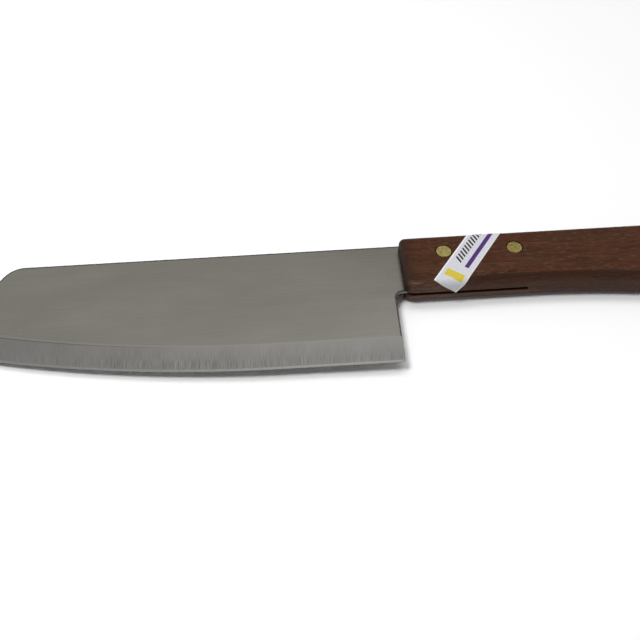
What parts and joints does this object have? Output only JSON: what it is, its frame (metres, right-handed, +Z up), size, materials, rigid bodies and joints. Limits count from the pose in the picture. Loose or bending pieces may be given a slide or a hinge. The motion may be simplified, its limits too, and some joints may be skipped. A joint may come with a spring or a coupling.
{
  "type": "thai chef knife",
  "caption": "Thin-bladed kitchen knife with a straight spine, clipped front and long belly, half tang riveted into a slit hardwood handle, paper label on the handle.",
  "frame": {"origin": "under the middle of the knife as it lies on its side, on the plane of the handle's lower face", "axes": "+X along the knife from the tip to the butt, +Y from the cutting edge to the spine, +Z up through the blade's sides, towards the labelled side"},
  "size_m": [0.2812, 0.051, 0.0112],
  "materials": {
    "blade_steel": "satin ground stainless steel, cross-ground bevel",
    "handle_wood": "oiled reddish-brown hardwood, open straight grain",
    "rivet_brass": "ground flush, slightly dull",
    "label_paper": "coated silver-white sticker paper with a plain print"
  },
  "bodies": {
    "root": {"blade": "blade_steel", "handle": "handle_wood", "front_rivet_female": "rivet_brass", "front_rivet_male": "rivet_brass", "rear_rivet_female": "rivet_brass", "rear_rivet_male": "rivet_brass", "label": "label_paper"}
  },
  "joints": []
}
